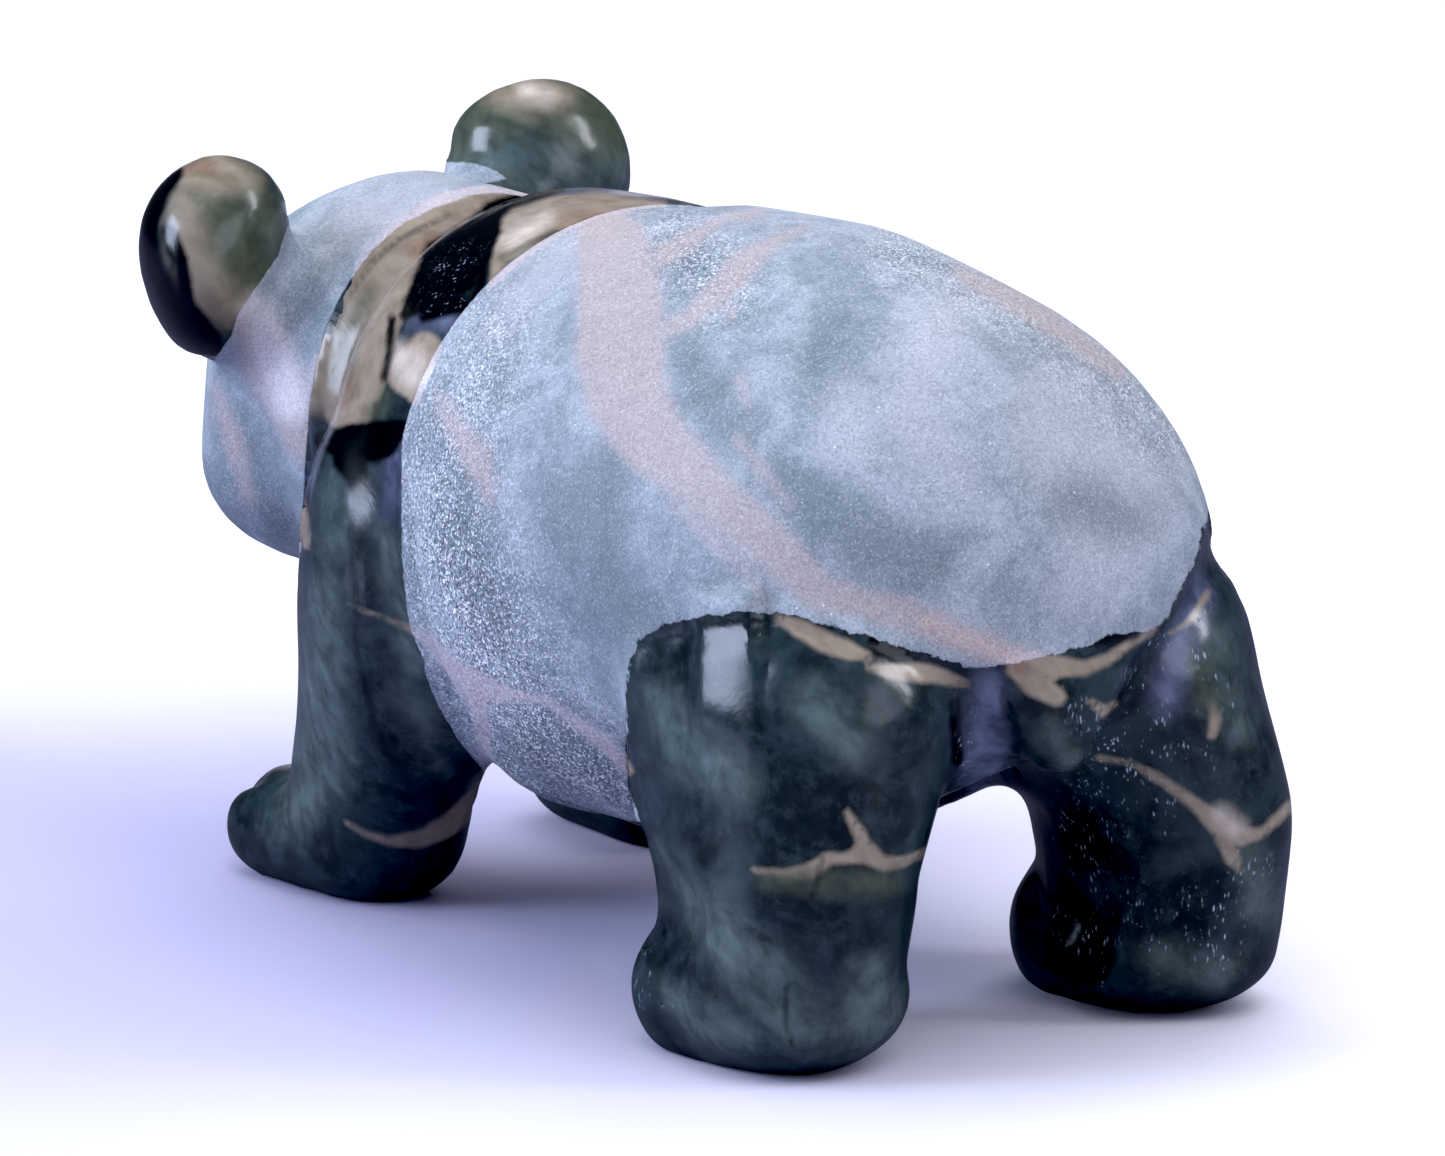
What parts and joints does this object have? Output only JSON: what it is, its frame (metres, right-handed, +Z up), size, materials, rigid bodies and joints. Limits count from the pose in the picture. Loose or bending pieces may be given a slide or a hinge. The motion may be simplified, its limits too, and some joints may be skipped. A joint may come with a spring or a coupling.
{
  "type": "carved stone panda figurine",
  "caption": "Small panda figurine carved from veined green, black and cream stone, walking with its head turned, with a frosted body and polished ears, shoulders and legs.",
  "frame": {"origin": "middle of the carving's length and width, at the level of its soles", "axes": "+Z up, -Y the way the panda faces and walks, +X the panda's own left"},
  "size_m": [0.0246, 0.0522, 0.028],
  "materials": {
    "carved_stone": "part sandblasted to an even frost, part polished"
  },
  "bodies": {
    "root": {"panda_carving": "carved_stone"}
  },
  "joints": []
}
